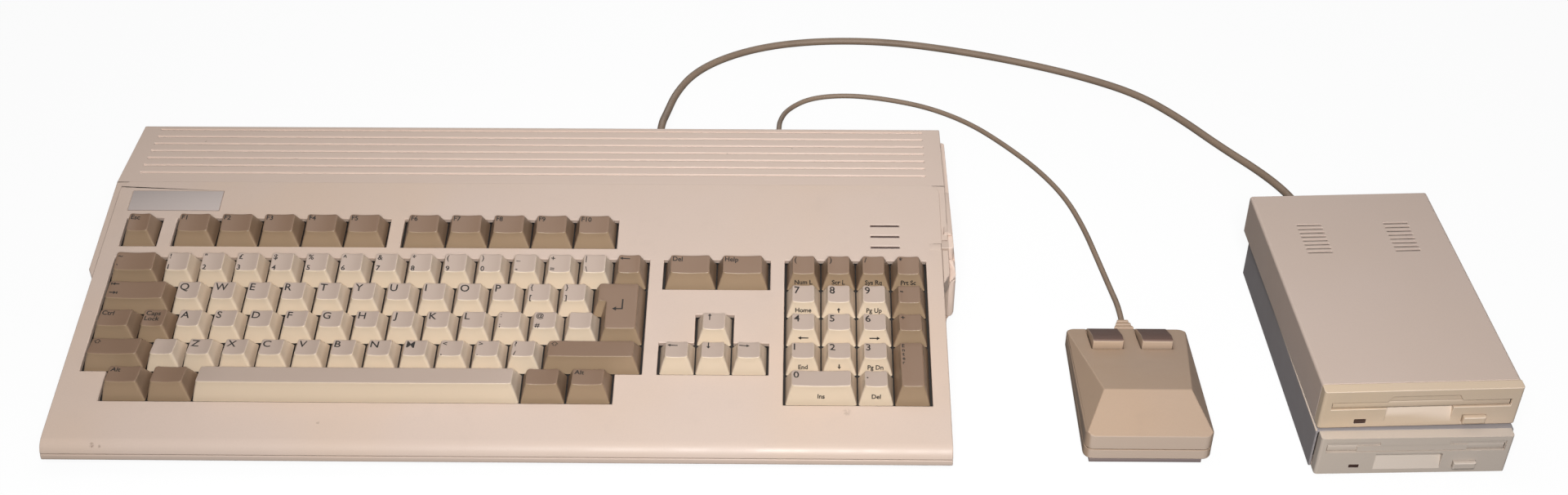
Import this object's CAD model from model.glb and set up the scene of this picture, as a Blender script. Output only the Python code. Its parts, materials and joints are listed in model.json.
"""The looks of a wedge-shaped home computer with its mouse, its two stacked
disk drives and their leads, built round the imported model.

Lengths are millimetres in the model's own desk layout (x from the middle of the
keys, y from the front edge of the space bar's row, z from the desk) until they
are placed by desk() or on_panel(), which give metres in the row frame.
"""
import json
from math import cos, hypot, pi, radians, sin

import bmesh
import bpy
from mathutils import Matrix, Vector


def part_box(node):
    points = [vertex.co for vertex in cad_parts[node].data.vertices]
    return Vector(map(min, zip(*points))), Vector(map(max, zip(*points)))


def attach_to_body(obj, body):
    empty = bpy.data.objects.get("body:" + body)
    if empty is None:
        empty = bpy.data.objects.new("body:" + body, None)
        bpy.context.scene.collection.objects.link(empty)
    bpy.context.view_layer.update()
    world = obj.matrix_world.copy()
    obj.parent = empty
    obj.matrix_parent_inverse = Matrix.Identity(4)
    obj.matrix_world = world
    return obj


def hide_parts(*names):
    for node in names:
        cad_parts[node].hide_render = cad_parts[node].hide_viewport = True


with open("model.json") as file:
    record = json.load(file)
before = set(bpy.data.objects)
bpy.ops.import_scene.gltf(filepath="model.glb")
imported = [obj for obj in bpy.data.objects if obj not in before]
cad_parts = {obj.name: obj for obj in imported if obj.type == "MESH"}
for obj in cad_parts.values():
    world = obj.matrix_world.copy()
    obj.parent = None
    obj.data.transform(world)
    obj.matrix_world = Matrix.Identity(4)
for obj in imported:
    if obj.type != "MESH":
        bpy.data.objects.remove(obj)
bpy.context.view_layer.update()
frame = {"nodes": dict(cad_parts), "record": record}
MM = 0.001

# ---------------------------------------------------------------- the desk layout
BOARD_REAR = 203.5                  # rear edge of the main board, centred on x = 0
board_low, board_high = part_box("main_board")
DESK = Vector(((board_low.x + board_high.x) / 2, board_high.y - BOARD_REAR * MM, 0))

PANEL_SLOPE = radians(11.86)
PANEL_FOOT = 22.0


def desk(x, y, z):
    """A point of the desk layout in the row frame, in metres."""
    return DESK + Vector((x, y, z)) * MM


def on_panel(x, v, h):
    """A point of the sloped key panel: across, up the slope, off the panel."""
    return desk(x, v * cos(PANEL_SLOPE) - h * sin(PANEL_SLOPE),
                PANEL_FOOT + v * sin(PANEL_SLOPE) + h * cos(PANEL_SLOPE))


# ---------------------------------------------------------------- camera
CAMERA_PLACE = (157.6, -699.3, 681.1)
CAMERA_DOWN = radians(38.462)
CAMERA_TURN = radians(0.812)        # anticlockwise, seen from above
CAMERA_ROLL = radians(-0.186)
LENS = 42.34
SENSOR = 36.0


def make_camera():
    """The photo's camera."""
    turn = Matrix.Rotation(CAMERA_TURN, 3, "Z")
    forward = turn @ Vector((0, cos(CAMERA_DOWN), -sin(CAMERA_DOWN)))
    right = turn @ Vector((1, 0, 0))
    up = turn @ Vector((0, sin(CAMERA_DOWN), cos(CAMERA_DOWN)))
    c, s = cos(CAMERA_ROLL), sin(CAMERA_ROLL)
    axes = Matrix((c * right + s * up, c * up - s * right, -forward)).transposed()
    data = bpy.data.cameras.new("camera")
    data.lens = LENS
    data.sensor_width = SENSOR
    data.clip_end = 60
    camera = bpy.data.objects.new("camera", data)
    camera.matrix_world = Matrix.Translation(desk(*CAMERA_PLACE)) @ axes.to_4x4()
    bpy.context.scene.collection.objects.link(camera)
    bpy.context.scene.camera = camera


# ---------------------------------------------------------------- materials
class Shader:
    """Short names for building one node material."""

    def __init__(self, name, colour, roughness, metallic=0.0, specular=0.5):
        self.material = bpy.data.materials.new(name)
        self.material.use_nodes = True
        self.tree = self.material.node_tree
        self.bsdf = self.tree.nodes["Principled BSDF"]
        self.bsdf.inputs["Roughness"].default_value = roughness
        self.bsdf.inputs["Metallic"].default_value = metallic
        self.bsdf.inputs["Specular IOR Level"].default_value = specular
        self.bsdf.inputs["Base Color"].default_value = (*colour, 1)
        self.colour = self.rgb(colour)
        self.place = self.node("ShaderNodeTexCoord").outputs["Object"]
        self.heights = []

    def node(self, kind, **values):
        made = self.tree.nodes.new(kind)
        for key, value in values.items():
            setattr(made, key, value)
        return made

    def link(self, out, socket):
        self.tree.links.new(out, socket)

    def rgb(self, colour):
        made = self.node("ShaderNodeRGB")
        made.outputs[0].default_value = (*colour, 1)
        return made.outputs[0]

    def noise(self, scale, detail=3.0, stretch=(1, 1, 1), roughness=0.55):
        """Noise with a scale in waves per metre."""
        mapping = self.node("ShaderNodeMapping")
        mapping.inputs["Scale"].default_value = stretch
        self.link(self.place, mapping.inputs["Vector"])
        made = self.node("ShaderNodeTexNoise")
        made.inputs["Scale"].default_value = scale
        made.inputs["Detail"].default_value = detail
        made.inputs["Roughness"].default_value = roughness
        self.link(mapping.outputs[0], made.inputs["Vector"])
        return made.outputs["Fac"]

    def ramp(self, value, low, high, to_low=0.0, to_high=1.0):
        """Carry a value smoothly from one range into another."""
        made = self.node("ShaderNodeMapRange", interpolation_type="SMOOTHSTEP")
        for index, number in enumerate((low, high, to_low, to_high), start=1):
            made.inputs[index].default_value = number
        self.link(value, made.inputs[0])
        return made.outputs[0]

    def math(self, operation, a, b=None):
        made = self.node("ShaderNodeMath", operation=operation)
        for index, value in enumerate((a, b)):
            if value is None:
                continue
            if isinstance(value, (int, float)):
                made.inputs[index].default_value = value
            else:
                self.link(value, made.inputs[index])
        return made.outputs[0]

    def blend(self, factor, colour, mode="MIX"):
        """Lay a colour over what is there, where factor is high."""
        made = self.node("ShaderNodeMix", data_type="RGBA", blend_type=mode)
        self.link(factor, made.inputs["Factor"])
        self.link(self.colour, made.inputs["A"])
        made.inputs["B"].default_value = (*colour, 1)
        self.colour = made.outputs["Result"]

    def normal_part(self, axis):
        """How much the surface faces along an axis of its own object."""
        parts = self.node("ShaderNodeSeparateXYZ")
        self.link(self.node("ShaderNodeTexCoord").outputs["Normal"], parts.inputs[0])
        return parts.outputs[axis]

    def crevice(self, distance):
        """1 in corners and grooves, 0 in the open."""
        made = self.node("ShaderNodeAmbientOcclusion", samples=6)
        made.inputs["Distance"].default_value = distance
        return self.ramp(made.outputs["AO"], 0.35, 0.95, 1.0, 0.0)

    def bump(self, height, distance, strength=1.0):
        """Relief of a height map, this many metres deep; later maps lie on earlier ones."""
        self.heights.append((height, distance, strength))

    def roughen(self, value):
        self.link(value, self.bsdf.inputs["Roughness"])

    def finish(self):
        """Join the colour and the relief to the shader and give the material."""
        self.link(self.colour, self.bsdf.inputs["Base Color"])
        normal = None
        for height, distance, strength in self.heights:
            made = self.node("ShaderNodeBump")
            made.inputs["Distance"].default_value = distance
            made.inputs["Strength"].default_value = strength
            self.link(height, made.inputs["Height"])
            if normal:
                self.link(normal, made.inputs["Normal"])
            normal = made.outputs[0]
        if normal:
            self.link(normal, self.bsdf.inputs["Normal"])
        return self.material


def scaled(colour, factor):
    """A colour made lighter or darker."""
    return tuple(min(1.0, part * factor) for part in colour)


def moulded(name, colour, yellow=None, dirt=0.35, roughness=0.46, grain=0.000035,
            specular=0.22):
    """Spark-textured moulded plastic, unevenly aged, a little dirty in its corners."""
    shader = Shader(name, colour, roughness, specular=specular)
    aged = yellow or (colour[0] * 1.02, colour[1] * 0.97, colour[2] * 0.88)
    shader.blend(shader.ramp(shader.noise(9, 2), 0.40, 0.68, 0.0, 0.55), aged)
    shader.blend(shader.ramp(shader.noise(55, 4), 0.56, 0.80, 0.0, 0.30), scaled(colour, 0.88))
    shader.blend(shader.ramp(shader.noise(1300, 2), 0.35, 0.75, 0.0, 0.22),
                 scaled(colour, 0.90))
    shader.blend(shader.math("MULTIPLY", shader.crevice(0.004), dirt),
                 (colour[0] * 0.40, colour[1] * 0.33, colour[2] * 0.26))
    shader.bump(shader.noise(1500, 2), grain, 0.8)
    shader.roughen(shader.ramp(shader.noise(70, 3), 0.3, 0.75, roughness - 0.05,
                               roughness + 0.07))
    return shader


CASE = (0.605, 0.478, 0.403)
CREAM_TOP = (0.490, 0.380, 0.315)
BROWN_TOP = (0.250, 0.158, 0.105)
INK = (0.022, 0.018, 0.016)


def key_plastic(name, top, front, side):
    """Key cap plastic: handled tops, and fronts that have yellowed."""
    shader = moulded(name, side, dirt=0.5, roughness=0.40, grain=0.00002, specular=0.5)
    facing = shader.ramp(shader.math("MULTIPLY", shader.normal_part("Y"), -1.0), 0.45, 0.80)
    shader.blend(facing, front)
    shader.blend(shader.ramp(shader.normal_part("Z"), 0.84, 0.92), top)
    return shader.finish()


def bezel_plastic(name, colour, hollow, yellow):
    """Bezel plastic, cleaner on the slanting floor of its finger hollow."""
    shader = moulded(name, colour, yellow=yellow, dirt=0.2, roughness=0.38, specular=0.3)
    up = shader.normal_part("Z")
    slanting = shader.math("MULTIPLY", shader.ramp(up, 0.12, 0.24),
                           shader.ramp(up, 0.6, 0.8, 1, 0))
    shader.blend(slanting, hollow)
    return shader.finish()


def mouse_plastic(name, colour, clean):
    """Mouse plastic, cleaner low down at the palm end than under the hand."""
    shader = moulded(name, colour, roughness=0.44)
    facing = shader.ramp(shader.math("MULTIPLY", shader.normal_part("Y"), -1.0), 0.75, 0.95)
    shader.blend(facing, clean)
    return shader.finish()


def button_plastic(name, colour, handled):
    """Button plastic, darker where fingers rest on it."""
    shader = moulded(name, colour)
    shader.blend(shader.ramp(shader.normal_part("Z"), 0.45, 0.80), handled)
    return shader.finish()


def ink(name, ground):
    """Printed legends, a little worn."""
    shader = Shader(name, INK, 0.55)
    shader.blend(shader.ramp(shader.noise(2600, 2), 0.62, 0.74, 0.0, 0.6), ground)
    return shader.finish()


def metal(name, colour, roughness, stretch=(1, 1, 1)):
    """Bare or plated sheet, brushed along the axis that stretch makes short."""
    shader = Shader(name, colour, roughness, metallic=1.0)
    shader.blend(shader.ramp(shader.noise(120, 4), 0.45, 0.8, 0.0, 0.5), scaled(colour, 0.72))
    shader.bump(shader.noise(900, 2, stretch), 0.00002, 0.6)
    shader.roughen(shader.ramp(shader.noise(160, 3), 0.3, 0.8, roughness - 0.08,
                               roughness + 0.12))
    return shader.finish()


def rubber(name, colour, roughness=0.7):
    """Dull rubber, paler where it has rubbed."""
    shader = Shader(name, colour, roughness, specular=0.3)
    shader.blend(shader.ramp(shader.noise(240, 4), 0.5, 0.8, 0.0, 0.5), scaled(colour, 1.7))
    shader.bump(shader.noise(2200, 2), 0.00003, 0.7)
    return shader.finish()


def jacket(name, colour):
    """Soft cable jacket with faint handling marks."""
    shader = Shader(name, colour, 0.48, specular=0.4)
    shader.blend(shader.ramp(shader.noise(45, 3), 0.42, 0.72, 0.0, 0.6), scaled(colour, 0.80))
    shader.blend(shader.ramp(shader.noise(700, 2), 0.55, 0.8, 0.0, 0.3), scaled(colour, 1.15))
    shader.bump(shader.noise(1100, 2), 0.00003, 0.5)
    return shader.finish()


def painted(name, colour):
    """Satin enamel on sheet steel, with a faint orange peel."""
    shader = Shader(name, colour, 0.50, specular=0.2)
    shader.blend(shader.ramp(shader.noise(7, 2), 0.38, 0.7, 0.0, 0.5),
                 (colour[0] * 0.97, colour[1] * 0.95, colour[2] * 0.90))
    shader.blend(shader.ramp(shader.noise(1900, 2), 0.40, 0.7, 0.0, 0.20), scaled(colour, 0.86))
    shader.bump(shader.noise(520, 2), 0.00004, 0.5)
    shader.roughen(shader.ramp(shader.noise(80, 3), 0.3, 0.75, 0.46, 0.58))
    return shader.finish()


def lens_plastic(name, colour):
    """Tinted plastic of an unlit lamp."""
    shader = Shader(name, colour, 0.22)
    shader.blend(shader.ramp(shader.noise(400, 2), 0.4, 0.8, 0.0, 0.5), scaled(colour, 0.6))
    return shader.finish()


def board_lacquer(name):
    """Green lacquer of a circuit board, with its tracks."""
    green = (0.045, 0.11, 0.05)
    shader = Shader(name, green, 0.35)
    shader.blend(shader.ramp(shader.noise(260, 1, (1, 0.05, 1)), 0.5, 0.53, 0.0, 0.6),
                 scaled(green, 1.8))
    return shader.finish()


SEAM_Y = 148.85                     # where the key panel ends and the deck begins
WING_SIDE = 237.6                   # outside of the case's wings
DECK_SHARE, GRIP_SHARE = 1.12, 1.35     # their colour against the rest of the case
# marks on the case: x, y, radius, strength
CASE_MARKS = [(-197.0, 190.5, 0.9, 0.8), (112.0, 181.0, 0.9, 0.7), (150.0, 186.0, 0.7, 0.7),
              (-207.0, -27.0, 1.6, 0.5), (-203.0, -27.5, 1.0, 0.4), (-93.0, -13.5, 1.1, 0.5),
              (196.0, 30.0, 2.4, 0.3), (180.0, -5.0, 3.0, 0.25)]


def case_material():
    """Case plastic: a paler deck and side grip, and a few scuffs and spots."""
    shader = moulded("case_plastic", CASE, roughness=0.38, specular=0.3)
    parts = shader.node("ShaderNodeSeparateXYZ")
    shader.link(shader.place, parts.inputs[0])
    seam = desk(0, SEAM_Y, 0).y
    shader.blend(shader.ramp(parts.outputs["Y"], seam, seam + 0.5 * MM),
                 scaled(CASE, DECK_SHARE))
    side = desk(WING_SIDE, 0, 0).x
    shader.blend(shader.ramp(parts.outputs["X"], side, side + 0.5 * MM),
                 scaled(CASE, GRIP_SHARE))
    spots = None
    for x, y, radius, strength in CASE_MARKS:
        there = desk(x, y, 0)
        flat = shader.node("ShaderNodeVectorMath", operation="MULTIPLY")
        flat.inputs[1].default_value = (1, 1, 0)
        shader.link(shader.place, flat.inputs[0])
        away = shader.node("ShaderNodeVectorMath", operation="DISTANCE")
        away.inputs[1].default_value = (there.x, there.y, 0)
        shader.link(flat.outputs[0], away.inputs[0])
        spot = shader.ramp(away.outputs["Value"], 0.3 * radius * MM, radius * MM, strength, 0.0)
        spots = spot if spots is None else shader.math("MAXIMUM", spots, spot)
    broken = shader.ramp(shader.noise(900, 2), 0.35, 0.6)
    shader.blend(shader.math("MULTIPLY", spots, broken), (0.13, 0.07, 0.045))
    return shader.finish()


MATERIALS = {
    "case": case_material(),
    "key_cream": key_plastic("cream_key_plastic", CREAM_TOP, (0.670, 0.540, 0.400),
                             (0.660, 0.540, 0.430)),
    "key_brown": key_plastic("brown_key_plastic", BROWN_TOP, (0.325, 0.225, 0.140),
                             (0.270, 0.180, 0.120)),
    "dark_plastic": moulded("dark_plastic", (0.045, 0.040, 0.038)).finish(),
    "contact_sheet": moulded("contact_sheet", (0.055, 0.050, 0.046)).finish(),
    "board": board_lacquer("board_lacquer"),
    "sheet_metal": metal("plated_sheet", (0.62, 0.61, 0.58), 0.38, (1, 0.08, 1)),
    "socket_metal": metal("tinned_metal", (0.66, 0.65, 0.62), 0.30),
    "lamp_lens": lens_plastic("lamp_lens", (0.070, 0.035, 0.026)),
    "foot_rubber": rubber("foot_rubber", (0.030, 0.029, 0.028)),
    "ball_rubber": rubber("ball_rubber", (0.075, 0.075, 0.078), 0.6),
    "drive_cover": painted("drive_enamel", (0.610, 0.490, 0.425)),
    "drive_bezel": bezel_plastic("aged_bezel_plastic", (0.700, 0.555, 0.425),
                                 (0.840, 0.690, 0.560), (0.72, 0.545, 0.36)),
    "grey_bezel": bezel_plastic("grey_bezel_plastic", (0.640, 0.550, 0.475),
                                (0.710, 0.610, 0.525), (0.66, 0.55, 0.45)),
    "mouse_shell": mouse_plastic("mouse_plastic", (0.455, 0.330, 0.245),
                                 (0.610, 0.475, 0.380)),
    "mouse_button": button_plastic("mouse_button_plastic", (0.560, 0.430, 0.330),
                                   (0.165, 0.100, 0.080)),
    "roller_plastic": moulded("white_roller_plastic", (0.70, 0.70, 0.67)).finish(),
    "plug_plastic": moulded("plug_plastic", (0.480, 0.400, 0.330)).finish(),
    "lead_jacket": jacket("cable_jacket", (0.300, 0.215, 0.155)),
}
CREAM_INK = ink("ink_on_cream", CREAM_TOP)
BROWN_INK = ink("ink_on_brown", BROWN_TOP)
BADGE_FOIL = painted("badge_foil", (0.49, 0.425, 0.405))
GREY_ENAMEL = painted("grey_enamel", (0.345, 0.315, 0.320))
SEAM_SHADE = moulded("seam_shade", (0.20, 0.135, 0.105)).finish()
KEEL_PLASTIC = moulded("keel_plastic", (0.300, 0.240, 0.235)).finish()
BARE_EDGE = painted("bare_edge", (0.640, 0.530, 0.440))
SLOT_OF_NODE = {part["node"]: part["material_slot"] for part in frame["record"]["subparts"]}
BODY_OF_NODE = {node: body for body, nodes in frame["record"]["behaviour"]["bodies"].items()
                for node in nodes}


def dress(obj, material):
    """Give an object one material and no other."""
    obj.data.materials.clear()
    obj.data.materials.append(material)


def attach(piece, slot, body, material=None):
    """Give a piece its slot, the slot's material or another, and the body it moves with."""
    dress(piece, material or MATERIALS[slot])
    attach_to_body(piece, body)


def link_mesh(name, mesh):
    """An object in the scene that shows a mesh."""
    obj = bpy.data.objects.new(name, mesh)
    bpy.context.scene.collection.objects.link(obj)
    return obj


def shade(mesh, angle):
    """Smooth shading with sharp edges past an angle."""
    mesh.shade_smooth()
    mesh.set_sharp_from_angle(angle=radians(angle))


# ---------------------------------------------------------------- softened shells
def room_beside(edge):
    """How far the narrower of an edge's two faces reaches away from it."""
    a, b = (vert.co for vert in edge.verts)
    along = (b - a).normalized()
    reaches = []
    for face in edge.link_faces:
        away = [vert.co - a for vert in face.verts]
        reaches.append(max((v - along * v.dot(along)).length for v in away))
    return min(reaches)


ROUND_FROM = 25                     # edges that turn this many degrees are rounded
FLAT_WITHIN = 0.3                   # faces that turn less than this are joined first
SHARP_FROM = 60                     # edges that turn this many degrees are shaded as sharp


def softened(node, width, reshape=None, material=None, spare=None):
    """A copy of a CAD node that stands for it, its edges rounded by a width in millimetres.

    spare says of a point whether the edges and faces at it stay as they are.
    """
    mesh = frame["nodes"][node].data.copy()
    bm = bmesh.new()
    bm.from_mesh(mesh)
    if reshape:
        reshape(bm)
    bmesh.ops.remove_doubles(bm, verts=bm.verts, dist=2e-6)
    free_verts = [vert for vert in bm.verts if not (spare and spare(vert.co))]
    free_edges = [edge for edge in bm.edges
                  if not (spare and any(spare(vert.co) for vert in edge.verts))]
    bmesh.ops.dissolve_limit(bm, angle_limit=radians(FLAT_WITHIN), verts=free_verts,
                             edges=free_edges)
    layer = bm.edges.layers.float.new("bevel_weight_edge")
    for edge in bm.edges:
        if spare and spare((edge.verts[0].co + edge.verts[1].co) / 2):
            continue
        if edge.is_manifold and edge.calc_face_angle(0) > radians(ROUND_FROM):
            edge[layer] = min(1.0, 0.4 * room_beside(edge) / (width * MM))
    bm.to_mesh(mesh)
    bm.free()
    piece = link_mesh(node + "_moulding", mesh)
    bevel = piece.modifiers.new("rounding", "BEVEL")
    bevel.limit_method = "WEIGHT"
    bevel.width = width * MM
    bevel.segments = 2
    bevel.use_clamp_overlap = False
    even = piece.modifiers.new("even_shading", "WEIGHTED_NORMAL")
    even.keep_sharp = True
    shade(mesh, SHARP_FROM)
    attach(piece, SLOT_OF_NODE[node], BODY_OF_NODE[node], material)
    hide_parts(node)
    return piece


# ---------------------------------------------------------------- mouse and side grip
MOUSE_X, MOUSE_Y = 335.2, -19.5     # the mouse's middle and its palm end
BALL_Y = 34.0                       # from the palm end to the ball
BALL_ROOM = 24.0                    # radius of the ball's works


def near_ball(point):
    """Whether a point of the mouse is in the works round its ball."""
    x, y, _ = (point - DESK) / MM
    return hypot(x - MOUSE_X, y - MOUSE_Y - BALL_Y) < BALL_ROOM


CASE_SIDE = 233.9                   # the grip stands out past this x
GRIP_LENGTH, GRIP_HEIGHT = (50.0, 104.0), (7.0, 33.0)   # along y and z
GRIP_MIDDLE = (80.0, 20.0)          # y and z between its ends
GRIP_FRONT_SHIFT, GRIP_TOP_SHIFT, GRIP_FOOT_SHIFT = 32.0, 6.5, -3.0


def upright_grip(bm):
    """Draw the side grip together into a short upright block."""
    for vert in bm.verts:
        x, y, z = (vert.co - DESK) / MM
        in_length = GRIP_LENGTH[0] < y < GRIP_LENGTH[1]
        in_height = GRIP_HEIGHT[0] < z < GRIP_HEIGHT[1]
        if x > CASE_SIDE and in_length and in_height:
            dy = GRIP_FRONT_SHIFT if y < GRIP_MIDDLE[0] else 0
            dz = GRIP_TOP_SHIFT if z > GRIP_MIDDLE[1] else GRIP_FOOT_SHIFT
            vert.co += Vector((0, dy, dz)) * MM


# ---------------------------------------------------------------- leads
# control points of each lead's middle line, from its plug
DRIVE_ROUTE = [(66.5, 246.49, 16.2), (66.5, 262.0, 16.2), (68.0, 288.0, 7.0),
               (72.0, 318.0, 2.6), (83.0, 343.0, 2.6), (104.0, 363.0, 2.6),
               (134.0, 377.5, 2.6), (172.0, 384.0, 2.6), (216.0, 382.5, 2.6),
               (262.0, 371.5, 2.6), (306.0, 356.5, 2.6), (345.0, 339.0, 2.6),
               (377.0, 319.0, 2.6), (400.0, 292.0, 2.6), (421.0, 260.0, 2.6),
               (441.0, 233.5, 2.6), (452.5, 208.0, 5.0), (455.5, 173.07, 13.5),
               (456.13, 153.08, 13.5)]
MOUSE_ROUTE = [(141.0, 246.49, 16.2), (141.0, 258.0, 16.2), (141.4, 280.0, 7.5),
               (146.0, 301.0, 1.8), (161.0, 314.5, 1.8), (186.0, 318.0, 1.8),
               (213.0, 313.0, 1.8), (240.0, 303.0, 1.8), (265.0, 285.0, 1.8),
               (286.0, 260.0, 1.8), (304.0, 234.0, 1.8), (317.5, 206.0, 1.8),
               (325.0, 176.0, 1.8), (329.5, 147.0, 1.8), (333.6, 119.0, 2.0),
               (335.2, 96.5, 6.6), (335.2, 83.5, 6.6)]


def make_lead(name, route, diameter, node):
    """A smooth lead along a route, from the object's strain relief to its plug."""
    curve = bpy.data.curves.new(name, "CURVE")
    curve.dimensions = "3D"
    curve.bevel_depth = diameter * MM / 2
    curve.bevel_resolution = 5
    curve.resolution_u = 10
    curve.use_fill_caps = True
    points = [desk(*point) for point in reversed(route)]
    spline = curve.splines.new("NURBS")
    spline.points.add(len(points) - 1)
    for control, point in zip(spline.points, points):
        control.co = (*point, 1)
    spline.order_u = 3
    spline.use_endpoint_u = True
    lead = bpy.data.objects.new(name, curve)
    bpy.context.scene.collection.objects.link(lead)
    curve.materials.append(MATERIALS["lead_jacket"])
    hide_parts(node)
    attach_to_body(lead, "root")


# ---------------------------------------------------------------- key caps
KEY_PITCH = 19.05
KEY_COLUMNS = 23.5
KEY_GAP = 0.8
FUNCTION_ROW = 5.5
CAP_LOW = -2.0
# front and rear height of the top faces, from the space bar's row upwards
CAP_TOPS = [(9.8, 6.7), (8.3, 5.6), (7.6, 6.0), (7.0, 6.5), (7.7, 8.3), (7.0, 7.8)]
# how far each side leans in, by the way it faces
SLOPES = {(0, -1): 4.2, (0, 1): 1.7, (-1, 0): 3.1, (1, 0): 3.1}
DISH, BAR_DISH = 0.75, 0.25         # depth of the hollow in keys and in long keys
CORNER_LOW, CORNER_HIGH = 0.9, 1.5  # radius at the skirt's edge and at the top
RIM, RIM_REACH = 0.75, 0.8          # rounding round the top, and its reach as a share
SKIRT_STEPS, RIM_STEPS = 3, 4
TOP_RINGS = (0.82, 0.6, 0.36, 0.15)     # loops on the top face
ARC_POINTS, EDGE_POINTS = 4, 7
WALL = 1.2
STEM_HALF = 2.3
STEM_END = -8.9


def column_x(column):
    """Desk x of a key column's left edge."""
    return (column - KEY_COLUMNS / 2) * KEY_PITCH


def row_of(column, row, widths):
    """Keys side by side, each as column, row, width and depth in key pitches."""
    keys = []
    for width in widths:
        keys.append((column, row, width, 1))
        column += width
    return keys


class Cap:
    """One key cap: its outline on the panel and the height of its top."""

    def __init__(self, column, row, width, depth, notch=None):
        gap = KEY_GAP / 2
        self.x0, self.x1 = column_x(column) + gap, column_x(column + width) - gap
        self.y0, self.y1 = row * KEY_PITCH + gap, (row + depth) * KEY_PITCH - gap
        self.middle = (self.x0 + self.x1) / 2
        self.half = (self.x1 - self.x0) / 2 - SLOPES[(1, 0)]
        self.top_front = self.y0 + SLOPES[(0, -1)]
        self.top_rear = self.y1 - SLOPES[(0, 1)]
        self.front = CAP_TOPS[int(row)][0]
        self.rear = CAP_TOPS[int(row + depth) - 1][1]
        self.dish = DISH if width <= 2 and depth == 1 else BAR_DISH
        self.outline = [(self.x0, self.y0), (self.x1, self.y0), (self.x1, self.y1),
                        (self.x0, self.y1)]
        if notch:
            left, low = column_x(notch[0]) + gap, notch[1] * KEY_PITCH + gap
            self.outline = self.outline[:3] + [(left, self.y1), (left, low), (self.x0, low)]

    def top(self, x, y):
        """Height of the top face, hollowed across its width."""
        along = (y - self.top_front) / (self.top_rear - self.top_front)
        across = min(1.0, abs(x - self.middle) / self.half)
        return self.front + (self.rear - self.front) * along - self.dish * (1 - across ** 2)

    def centre(self):
        return (self.middle, (self.top_front + self.top_rear) / 2)


def unit(a, b):
    """Direction from a to b, along an axis."""
    length = hypot(b[0] - a[0], b[1] - a[1])
    return (round((b[0] - a[0]) / length), round((b[1] - a[1]) / length))


def ring(outline, share, radius, extra=0.0):
    """Points round an outline, pulled in by a share of its slopes and a bit more."""
    count = len(outline)
    arcs = []
    for i, corner in enumerate(outline):
        into = unit(outline[i - 1], corner)
        out = unit(corner, outline[(i + 1) % count])
        n1, n2 = (into[1], -into[0]), (out[1], -out[0])
        turn = into[0] * out[1] - into[1] * out[0]
        in1, in2 = (SLOPES[n] * share + extra for n in (n1, n2))
        x = corner[0] - n1[0] * in1 - n2[0] * in2
        y = corner[1] - n1[1] * in1 - n2[1] * in2
        cx = x - turn * radius * (n1[0] + n2[0])
        cy = y - turn * radius * (n1[1] + n2[1])
        arc = []
        for step in range(ARC_POINTS + 1):
            angle = pi / 2 * step / ARC_POINTS
            c, s = turn * radius * cos(angle), turn * radius * sin(angle)
            arc.append((cx + c * n1[0] + s * n2[0], cy + c * n1[1] + s * n2[1]))
        arcs.append(arc)
    points = []
    for i, arc in enumerate(arcs):
        points += arc
        a, b = arc[-1], arcs[(i + 1) % count][0]
        for step in range(1, EDGE_POINTS + 1):
            t = step / (EDGE_POINTS + 1)
            points.append((a[0] + (b[0] - a[0]) * t, a[1] + (b[1] - a[1]) * t))
    return points


def cap_loops(cap):
    """Loops of (x, y, height) from the skirt's edge over the rim to the middle."""
    loops = []
    for step in range(SKIRT_STEPS + 1):
        t = step / SKIRT_STEPS
        points = ring(cap.outline, t, CORNER_LOW + (CORNER_HIGH - CORNER_LOW) * t)
        loops.append([(x, y, CAP_LOW + (cap.top(x, y) - RIM - CAP_LOW) * t)
                      for x, y in points])
    for step in range(1, RIM_STEPS + 1):
        angle = pi / 2 * step / RIM_STEPS
        points = ring(cap.outline, 1, CORNER_HIGH, RIM * (1 - cos(angle)) * RIM_REACH)
        loops.append([(x, y, cap.top(x, y) - RIM * (1 - sin(angle))) for x, y in points])
    rim = loops[-1]
    mx, my = cap.centre()
    for share in TOP_RINGS:
        loop = []
        for x, y, _ in rim:
            sx, sy = mx + (x - mx) * share, my + (y - my) * share
            loop.append((sx, sy, cap.top(sx, sy)))
        loops.append(loop)
    return loops


def add_loops(bm, loops, close_first):
    """Skin a stack of loops and cap its last one, or both."""
    rings = [[bm.verts.new(on_panel(*point)) for point in loop] for loop in loops]
    for low, high in zip(rings, rings[1:]):
        for i in range(len(low)):
            j = (i + 1) % len(low)
            bm.faces.new((low[i], low[j], high[j], high[i]))
    bm.faces.new(rings[-1])
    if close_first:
        bm.faces.new(list(reversed(rings[0])))
    return rings


def add_cap(bm, cap, stems):
    """One whole cap: outer skin, hollow inside and its stems."""
    outer = add_loops(bm, cap_loops(cap), False)
    roof = min(cap.front, cap.rear) - RIM - WALL
    inner_loops = []
    for share in (0.0, 1.0):
        inner_loops.append([(x, y, CAP_LOW + (roof - CAP_LOW) * share)
                            for x, y in ring(cap.outline, share, CORNER_LOW, WALL)])
    inner = [[bm.verts.new(on_panel(*point)) for point in loop] for loop in inner_loops]
    count = len(inner[0])
    for i in range(count):
        j = (i + 1) % count
        bm.faces.new((outer[0][j], outer[0][i], inner[0][i], inner[0][j]))
        bm.faces.new((inner[0][j], inner[0][i], inner[1][i], inner[1][j]))
    bm.faces.new(list(reversed(inner[1])))
    for x, y in stems:
        square = [(x - STEM_HALF, y - STEM_HALF), (x + STEM_HALF, y - STEM_HALF),
                  (x + STEM_HALF, y + STEM_HALF), (x - STEM_HALF, y + STEM_HALF)]
        add_loops(bm, [[(a, b, h) for a, b in square]
                       for h in (STEM_END, roof + WALL / 2)], True)


def stem_places(cap, width):
    """Where a cap's one or two stems are."""
    y = (cap.y0 + cap.y1) / 2
    reach = (width - 1.5) / 2 * KEY_PITCH
    return [(cap.middle - reach, y), (cap.middle + reach, y)] if width > 2 else [(cap.middle, y)]


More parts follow.
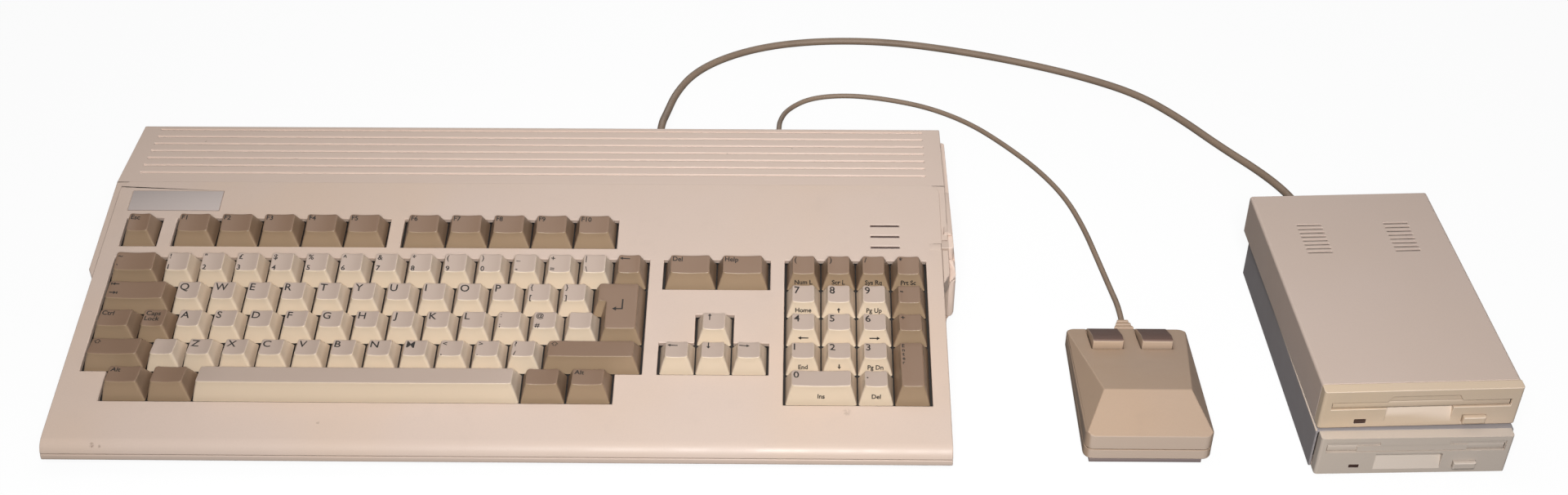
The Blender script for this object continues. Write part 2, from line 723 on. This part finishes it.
# ---------------------------------------------------------------- key legends
LIFT = 0.035                        # ink above the plastic
LETTER = 6.8                        # text size of single letters
SMALL = 4.6                         # of signs that share a cap
WORD, FRONT_WORD = 4.3, 3.8         # of words on tops and on fronts
FRONT_LINE = 0.36                   # base line of those, as a share of the front's height
WIDTH_SHARE = 0.92                  # width of the letters against the font's
BOLD = 0.09                         # thickening of the font
CAPITAL = 0.72                      # height of a capital as a share of its text size
MARGIN = 1.1                        # legend to the edges of the top face
TALL_WORD, TALL_PITCH = 3.4, 3.0    # of the word that runs down its cap
SIGN_PITCH, WORD_PITCH = 7.2, 3.9   # from one line of signs or words to the next
STROKE = 0.62                       # width of drawn lines


def line_shape(a, b, width=STROKE):
    """A stroke as four corners."""
    dx, dy = b[0] - a[0], b[1] - a[1]
    length = hypot(dx, dy)
    nx, ny = -dy / length * width / 2, dx / length * width / 2
    return [(a[0] + nx, a[1] + ny), (a[0] - nx, a[1] - ny), (b[0] - nx, b[1] - ny),
            (b[0] + nx, b[1] + ny)]


def arrow_shapes(tip, tail, head=1.7):
    """A thin arrow with a filled head."""
    dx, dy = tip[0] - tail[0], tip[1] - tail[1]
    length = hypot(dx, dy)
    ux, uy = dx / length, dy / length
    base = (tip[0] - ux * head, tip[1] - uy * head)
    wing = head * 0.62
    return [line_shape(tail, base),
            [tip, (base[0] - uy * wing, base[1] + ux * wing),
             (base[0] + uy * wing, base[1] - ux * wing)]]


def outline_shapes(points, width=STROKE):
    """Strokes round a closed outline."""
    return [line_shape(a, b, width) for a, b in zip(points, points[1:] + points[:1])]


# signs drawn in millimetres round their middles
SHIFT_ARROW = [(0, 1.7), (1.7, 0), (0.8, 0), (0.8, -1.2), (-0.8, -1.2), (-0.8, 0), (-1.7, 0)]
SIGNS = {
    "left": arrow_shapes((-2.8, 0), (2.8, 0)),
    "right": arrow_shapes((2.8, 0), (-2.8, 0)),
    "up": arrow_shapes((0, 2.4), (0, -2.4)),
    "down": arrow_shapes((0, -2.4), (0, 2.4)),
    "small_up": arrow_shapes((0, 1.5), (0, -1.5), 1.5),
    "small_down": arrow_shapes((0, -1.5), (0, 1.5), 1.5),
    "tab_left": arrow_shapes((-1.9, 0), (2.0, 0)) + [line_shape((-2.1, -0.8), (-2.1, 0.8))],
    "tab_right": arrow_shapes((1.9, 0), (-2.0, 0)) + [line_shape((2.1, -0.8), (2.1, 0.8))],
    "shift": outline_shapes(SHIFT_ARROW, 0.36),
    "return": [line_shape((2.6, 6.0), (2.6, -1.0), 0.8),
               line_shape((3.0, -0.7), (-0.6, -0.7), 0.8),
               [(-2.8, -0.7), (-0.6, 0.7), (-0.6, -2.1)]],
}


def glyph_mesh(words, size):
    """Flat mesh of some words, one unit to the millimetre."""
    curve = bpy.data.curves.new("words", "FONT")
    curve.body = words
    curve.size = size
    curve.resolution_u = 3
    curve.offset = BOLD
    text = bpy.data.objects.new("words", curve)
    bpy.context.scene.collection.objects.link(text)
    bpy.context.view_layer.update()
    mesh = bpy.data.meshes.new_from_object(text)
    bpy.data.objects.remove(text)
    bpy.data.curves.remove(curve)
    return mesh


GLYPHS = {}


def shapes_of(words, size):
    """Faces of a legend as lists of (x, y), from its lower left corner."""
    if (words, size) not in GLYPHS:
        mesh = glyph_mesh(words, size)
        faces = [[mesh.vertices[i].co.xy for i in face.vertices] for face in mesh.polygons]
        left = min(point.x for face in faces for point in face)
        GLYPHS[(words, size)] = [[((point.x - left) * WIDTH_SHARE, point.y) for point in face]
                                  for face in faces]
    return GLYPHS[(words, size)]


def add_faces(bm, faces, place):
    """Put flat faces on a surface by place(x, y), all facing up."""
    for face in faces:
        corners = [bm.verts.new(place(x, y)) for x, y in face]
        made = bm.faces.new(corners)
        made.normal_update()
        if made.normal.z < 0:
            made.normal_flip()


def on_top(cap, x0, y0):
    """Puts a legend's own x and y on a cap's top face."""
    return lambda x, y: on_panel(x0 + x, y0 + y, cap.top(x0 + x, y0 + y) + LIFT)


def on_skirt(cap, x0, share):
    """Puts a legend on a cap's front skirt, its base line at a share of the height."""
    run, rise = SLOPES[(0, -1)], cap.front - CAP_LOW
    slant = hypot(run, rise)

    def place(x, y):
        along = share + y / slant
        return on_panel(x0 + x, cap.y0 + run * along - LIFT * rise / slant,
                        CAP_LOW + rise * along + LIFT * run / slant)

    return place


def write_top(bm, cap, words, size, lower=0.0):
    """Words in the rear left corner of a cap's top face, or lower down on it."""
    x = cap.middle - cap.half + MARGIN
    y = cap.top_rear - MARGIN - size * CAPITAL - lower
    add_faces(bm, shapes_of(words, size), on_top(cap, x, y))


def sign_top(bm, cap, sign, dx, dy):
    """A sign on the top face, from the face's rear left corner."""
    add_faces(bm, SIGNS[sign], on_top(cap, cap.middle - cap.half + dx, cap.top_rear - dy))


def write_skirt(bm, cap, words):
    """Words in the middle of a cap's front."""
    faces = shapes_of(words, FRONT_WORD)
    width = max(x for face in faces for x, _ in face)
    add_faces(bm, faces, on_skirt(cap, cap.middle - width / 2, FRONT_LINE))


# What each bank of keys carries, in the order of its keys.
def two_lines(bm, cap, upper, lower):
    """One sign over another."""
    write_top(bm, cap, upper, SMALL)
    write_top(bm, cap, lower, SMALL, SIGN_PITCH)


def function_legends(bm, caps):
    write_top(bm, caps[0], "Esc", WORD)
    for i, cap in enumerate(caps[1:], start=1):
        write_top(bm, cap, "F%d" % i, WORD)


def number_legends(bm, caps):
    for cap, upper, lower in zip(caps, "!\"£$%^&*()_+|", "1234567890-=\\"):
        two_lines(bm, cap, upper, lower)


def upper_letter_legends(bm, caps):
    for cap, letter in zip(caps, "QWERTYUIOP"):
        write_top(bm, cap, letter, LETTER)
    two_lines(bm, caps[10], "{", "[")
    two_lines(bm, caps[11], "}", "]")


def home_letter_legends(bm, caps):
    for cap, letter in zip(caps, "ASDFGHJKL"):
        write_top(bm, cap, letter, LETTER)
    two_lines(bm, caps[9], ":", ";")
    two_lines(bm, caps[10], "@", "#")


def lower_letter_legends(bm, caps):
    for cap, letter in zip(caps[1:], "ZXCVBNM"):
        write_top(bm, cap, letter, LETTER)
    for cap, upper, lower in zip(caps[8:], "<>?", ",./"):
        two_lines(bm, cap, upper, lower)


def edge_legends(bm, caps):
    tilde, tab, control, lock, back = caps
    two_lines(bm, tilde, "~", "`")
    sign_top(bm, tab, "tab_left", 3.6, 2.2)
    sign_top(bm, tab, "tab_right", 3.6, 8.4)
    write_top(bm, control, "Ctrl", WORD)
    write_top(bm, lock, "Caps", WORD)
    write_top(bm, lock, "Lock", WORD, WORD_PITCH)
    sign_top(bm, back, "left", 3.4, 2.6)


def shift_legends(bm, caps):
    for cap in caps:
        sign_top(bm, cap, "shift", 3.2, 2.9)


def side_bar_legends(bm, caps):
    for cap in (caps[0], caps[-1]):
        write_top(bm, cap, "Alt", WORD)


def return_legends(bm, caps):
    sign_top(bm, caps[0], "return", 6.2, 17.0)


def edit_legends(bm, caps):
    write_top(bm, caps[0], "Del", WORD)
    write_top(bm, caps[1], "Help", WORD)


def arrow_legends(bm, caps):
    for cap, sign in zip(caps, ("up", "left", "down", "right")):
        sign_top(bm, cap, sign, 3.6, 2.9)


def pad_sign_legends(bm, caps):
    for cap, sign, word in zip(caps, "()/*", ("Num L", "Scr L", "Sys Rq", "Prt Sc")):
        write_top(bm, cap, sign, SMALL)
        write_skirt(bm, cap, word)
    write_top(bm, caps[4], "-", LETTER)
    write_top(bm, caps[5], "+", SMALL)


def pad_digit_legends(bm, caps):
    fronts = ["Home", "small_up", "Pg Up", "left", None, "right", "End", "small_down", "Pg Dn",
              "Ins", "Del"]
    for cap, digit, front in zip(caps, "7894561230.", fronts):
        write_top(bm, cap, digit, LETTER)
        if front in SIGNS:
            add_faces(bm, SIGNS[front], on_skirt(cap, cap.middle, 0.5))
        elif front:
            write_skirt(bm, cap, front)


def pad_enter_legends(bm, caps):
    for i, letter in enumerate("Enter"):
        write_top(bm, caps[0], letter, TALL_WORD, i * TALL_PITCH)


# each bank's keys as column, row, width and depth, and what prints them
BANKS = {
    "function_keys": (row_of(0, FUNCTION_ROW, [1]) + row_of(1.5, FUNCTION_ROW, [1.25] * 5)
                      + row_of(8.25, FUNCTION_ROW, [1.25] * 5), function_legends),
    "number_keys": (row_of(1.5, 4, [1] * 13), number_legends),
    "upper_letter_keys": (row_of(2, 3, [1] * 12), upper_letter_legends),
    "home_letter_keys": (row_of(2.25, 2, [1] * 12), home_letter_legends),
    "lower_letter_keys": (row_of(1.75, 1, [1] * 11), lower_letter_legends),
    "edge_keys": ([(0, 4, 1.5, 1), (0, 3, 2, 1), (0, 2, 1.25, 1), (1.25, 2, 1, 1),
                   (14.5, 4, 1, 1)], edge_legends),
    "shift_keys": ([(0, 1, 1.75, 1), (12.75, 1, 2.75, 1)], shift_legends),
    "space_bar": ([(3.25, 0, 9, 1)], None),
    "side_bar_keys": (row_of(0.75, 0, [1.25, 1.25]) + row_of(12.25, 0, [1.25, 1.25]),
                      side_bar_legends),
    "return_key": ([(14.25, 2, 1.25, 2)], return_legends),
    "edit_keys": (row_of(16, 4, [1.5, 1.5]), edit_legends),
    "arrow_keys": ([(17, 2, 1, 1)] + row_of(16, 1, [1, 1, 1]), arrow_legends),
    "pad_sign_keys": (row_of(19.5, 4, [1] * 4) + [(22.5, 3, 1, 1), (22.5, 2, 1, 1)],
                      pad_sign_legends),
    "pad_digit_keys": (row_of(19.5, 3, [1] * 3) + row_of(19.5, 2, [1] * 3)
                       + row_of(19.5, 1, [1] * 3) + row_of(19.5, 0, [2, 1]),
                       pad_digit_legends),
    "pad_enter_key": ([(22.5, 0, 1, 2)], pad_enter_legends),
}
RETURN_NOTCH = (14, 3)              # column and row where the return key widens


def make_bank(name, keys, legends):
    """The caps of one bank as a piece, and their printed legends as another."""
    slot = SLOT_OF_NODE[name]
    caps = [Cap(*key, notch=RETURN_NOTCH if name == "return_key" else None) for key in keys]
    bm = bmesh.new()
    for cap, key in zip(caps, keys):
        add_cap(bm, cap, stem_places(cap, key[2]))
    mesh = bpy.data.meshes.new(name + "_caps")
    bm.to_mesh(mesh)
    bm.free()
    shade(mesh, 50)
    piece = link_mesh(name + "_caps", mesh)
    attach(piece, slot, name)
    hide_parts(name)
    if legends is None:
        return
    bm = bmesh.new()
    legends(bm, caps)
    mesh = bpy.data.meshes.new(name + "_legends")
    bm.to_mesh(mesh)
    bm.free()
    attach(link_mesh(name + "_legends", mesh), slot, name,
           CREAM_INK if slot == "key_cream" else BROWN_INK)


# ---------------------------------------------------------------- small pieces
# where each drive's own axes start: x, y, z, and their turn in degrees
DRIVE_PLACES = {"lower": (417.8, -28.0, 1.5, 1.8), "upper": (418.0, -21.0, 27.1, 2.6)}
DRIVE_SLOT_Z = {"lower": 15.0, "upper": 12.4}    # lower edge of the disk slot
SLOT_X = (5.5, 95.5)
SLOT_HEIGHT = 4.5
FLAP_FACE = (0.95, 2.0)             # depth of the flap's raised front
FLAP_GAPS = (0.5, 0.3)              # under and over it
EDGE_X, EDGE_Y, EDGE_Z = (-0.10, 0.9), (6.6, 162.6), (23.55, 24.45)
KEEL_X, KEEL_Y, KEEL_Z = (-30.0, 28.0), (0.4, 4.5), (0.25, 3.2)
SEAM_HALF, SEAM_LENGTH, SEAM_Z = 232.0, 0.45, (52.13, 52.33)
# on the panel: middle across, middle up the slope, width, length
BADGE = (-200.0, 137.5, 51.8, 14.4)
BAY_CORNER = (230.2, 106.3, 6.6, 4.6)


def block_piece(name, place, xs, ys, zs, rounding):
    """A small block with rounded edges, put into the row frame by place(x, y, z)."""
    corners = ((xs[0], ys[0]), (xs[1], ys[0]), (xs[1], ys[1]), (xs[0], ys[1]))
    bm = bmesh.new()
    low, high = ([bm.verts.new(place(x, y, z)) for x, y in corners] for z in zs)
    bm.faces.new(list(reversed(low)))
    bm.faces.new(high)
    for i in range(4):
        j = (i + 1) % 4
        bm.faces.new((low[i], low[j], high[j], high[i]))
    bmesh.ops.bevel(bm, geom=bm.edges[:], offset=rounding * MM, segments=2, affect="EDGES",
                    profile=0.5)
    mesh = bpy.data.meshes.new(name)
    bm.to_mesh(mesh)
    bm.free()
    shade(mesh, 40)
    return link_mesh(name, mesh)


def plate_on_panel(name, plate, heights, rounding):
    """A thin plate on the sloped key panel."""
    x, v, width, length = plate
    return block_piece(name, on_panel, (x - width / 2, x + width / 2),
                       (v - length / 2, v + length / 2), heights, rounding)


def on_drive(name):
    """Puts a drive's own x, y, z in the row frame: along its front, in and up."""
    x0, y0, z0, turn = DRIVE_PLACES[name]
    c, s = cos(radians(turn)), sin(radians(turn))
    return lambda x, y, z: desk(x0 + x * c - y * s, y0 + x * s + y * c, z0 + z)


def on_mouse(x, y, z):
    """Puts the mouse's own x, y, z in the row frame: across, from the palm end and up."""
    return desk(MOUSE_X + x, MOUSE_Y + y, z)


def make_badge():
    """The bare plate in the badge's place."""
    plate = plate_on_panel("badge_plate", BADGE, (-0.5, 0.15), 0.12)
    attach(plate, "socket_metal", "root", BADGE_FOIL)


def cover_bay_corner():
    """The strip of panel over the front end of the drive bay."""
    attach(plate_on_panel("bay_corner", BAY_CORNER, (-0.35, 0.02), 0.02), "case", "root")


def make_deck_seam():
    """The shadow line where the key panel ends at the louvred deck."""
    seam = block_piece("deck_seam", desk, (-SEAM_HALF, SEAM_HALF),
                       (SEAM_Y, SEAM_Y + SEAM_LENGTH), SEAM_Z, 0.05)
    attach(seam, "case", "root", SEAM_SHADE)


def make_flap_fronts():
    """The raised fronts of the external drives' dust flaps, nearly flush in their slots."""
    for name, low in DRIVE_SLOT_Z.items():
        node = name + "_drive_flap"
        zs = (low + FLAP_GAPS[0], low + SLOT_HEIGHT - FLAP_GAPS[1])
        front = block_piece(node + "_front", on_drive(name), SLOT_X, FLAP_FACE, zs, 0.25)
        attach(front, SLOT_OF_NODE[node], BODY_OF_NODE[node])


def make_keel_band():
    """The mouse's dark keel, seen under the edge of its base."""
    band = block_piece("keel_band", on_mouse, KEEL_X, KEEL_Y, KEEL_Z, 0.3)
    attach(band, SLOT_OF_NODE["mouse_base"], "root", KEEL_PLASTIC)


def make_bare_edge():
    """Worn paint along the folded edge of the lower drive's cover."""
    edge = block_piece("bare_edge", on_drive("lower"), EDGE_X, EDGE_Y, EDGE_Z, 0.4)
    attach(edge, SLOT_OF_NODE["lower_drive_cover"], "root", BARE_EDGE)


# ---------------------------------------------------------------- stage
FLOOR_REACH = 30                    # metres from the middle
FLOOR_GREY = 0.09                   # what the lamps light, and the object's shadow darkens
FLOOR_GLOW = 0.915                  # what the camera sees without any lamp
MIRRORED = 0.12                     # share of the glow that gloss shows
LAMP_AIM = (120, 60, 20)            # where every lamp points
# name, place, size, power, spread in degrees
LAMPS = [("key_lamp", (170, -750, 840), 0.40, 6.5, 120),
         ("top_lamp", (100, 500, 1300), 1.2, 4, 180),
         ("rear_lamp", (100, 1700, 420), 1.0, 3, 180),
         ("side_lamp", (1900, 100, 420), 1.0, 2.5, 180)]
ROOM_COLOUR, ROOM_STRENGTH = (0.93, 0.95, 1.0), 0.05


def make_floor():
    """A pale floor that a camera sees as white, with the object's shadow on it."""
    reach = FLOOR_REACH
    mesh = bpy.data.meshes.new("floor")
    mesh.from_pydata([(-reach, -reach, 0), (reach, -reach, 0), (reach, reach, 0),
                      (-reach, reach, 0)], [], [(0, 1, 2, 3)])
    floor = link_mesh("floor", mesh)
    material = bpy.data.materials.new("floor")
    material.use_nodes = True
    tree = material.node_tree
    tree.nodes.clear()
    path = tree.nodes.new("ShaderNodeLightPath")

    def combine(operation, a, b):
        made = tree.nodes.new("ShaderNodeMath")
        made.operation = operation
        tree.links.new(a, made.inputs[0])
        if isinstance(b, float):
            made.inputs[1].default_value = b
        else:
            tree.links.new(b, made.inputs[1])
        return made.outputs[0]

    mirrored = combine("MULTIPLY", path.outputs["Is Glossy Ray"], MIRRORED)
    seen = combine("MAXIMUM", path.outputs["Is Camera Ray"], mirrored)
    glow = tree.nodes.new("ShaderNodeEmission")
    tree.links.new(combine("MULTIPLY", seen, FLOOR_GLOW), glow.inputs["Strength"])
    diffuse = tree.nodes.new("ShaderNodeBsdfDiffuse")
    diffuse.inputs["Color"].default_value = (FLOOR_GREY, FLOOR_GREY, FLOOR_GREY, 1)
    both = tree.nodes.new("ShaderNodeAddShader")
    tree.links.new(diffuse.outputs[0], both.inputs[0])
    tree.links.new(glow.outputs[0], both.inputs[1])
    output = tree.nodes.new("ShaderNodeOutputMaterial")
    tree.links.new(both.outputs[0], output.inputs["Surface"])
    mesh.materials.append(material)


def make_lamp(name, place, size, power, spread):
    """A round soft lamp."""
    data = bpy.data.lights.new(name, "AREA")
    data.shape = "DISK"
    data.size = size
    data.energy = power
    data.spread = radians(spread)
    lamp = bpy.data.objects.new(name, data)
    lamp.location = desk(*place)
    lamp.rotation_euler = (desk(*LAMP_AIM) - desk(*place)).to_track_quat("-Z", "Y").to_euler()
    bpy.context.scene.collection.objects.link(lamp)


def make_room():
    """An even dim room, which a camera sees as white."""
    world = bpy.data.worlds.new("room")
    bpy.context.scene.world = world
    world.use_nodes = True
    tree = world.node_tree
    tree.nodes.clear()
    output = tree.nodes.new("ShaderNodeOutputWorld")
    room = tree.nodes.new("ShaderNodeBackground")
    room.inputs["Color"].default_value = (*ROOM_COLOUR, 1)
    room.inputs["Strength"].default_value = ROOM_STRENGTH
    white = tree.nodes.new("ShaderNodeBackground")
    path = tree.nodes.new("ShaderNodeLightPath")
    mix = tree.nodes.new("ShaderNodeMixShader")
    tree.links.new(path.outputs["Is Camera Ray"], mix.inputs["Fac"])
    tree.links.new(room.outputs[0], mix.inputs[1])
    tree.links.new(white.outputs[0], mix.inputs[2])
    tree.links.new(mix.outputs[0], output.inputs["Surface"])


# ---------------------------------------------------------------- build it
bpy.context.scene.view_settings.view_transform = "Standard"
make_camera()
make_floor()
make_room()
for lamp in LAMPS:
    make_lamp(*lamp)

for node, piece in frame["nodes"].items():
    dress(piece, MATERIALS[SLOT_OF_NODE[node]])

softened("upper_case", 0.5)
softened("lower_case", 0.5, reshape=upright_grip)
for node in ("console_drive_bezel", "upper_drive_bezel"):
    softened(node, 0.35)
softened("upper_drive_cover", 0.3)
softened("lower_drive_cover", 0.3, material=GREY_ENAMEL)
drive_plug = softened("drive_plug", 0.4)
mouse_plug = softened("mouse_plug", 0.4)
softened("mouse_top", 0.5)
for node in ("mouse_left_button", "mouse_right_button"):
    softened(node, 0.4)
softened("mouse_base", 0.4, spare=near_ball)
softened("mouse_relief", 0.25)

make_lead("drive_cord", DRIVE_ROUTE, 4.8, "drive_lead")
make_lead("mouse_cord", MOUSE_ROUTE, 3.2, "mouse_lead")
for name, (keys, legends) in BANKS.items():
    make_bank(name, keys, legends)
make_badge()
cover_bay_corner()
make_deck_seam()
make_flap_fronts()
make_keel_band()
make_bare_edge()
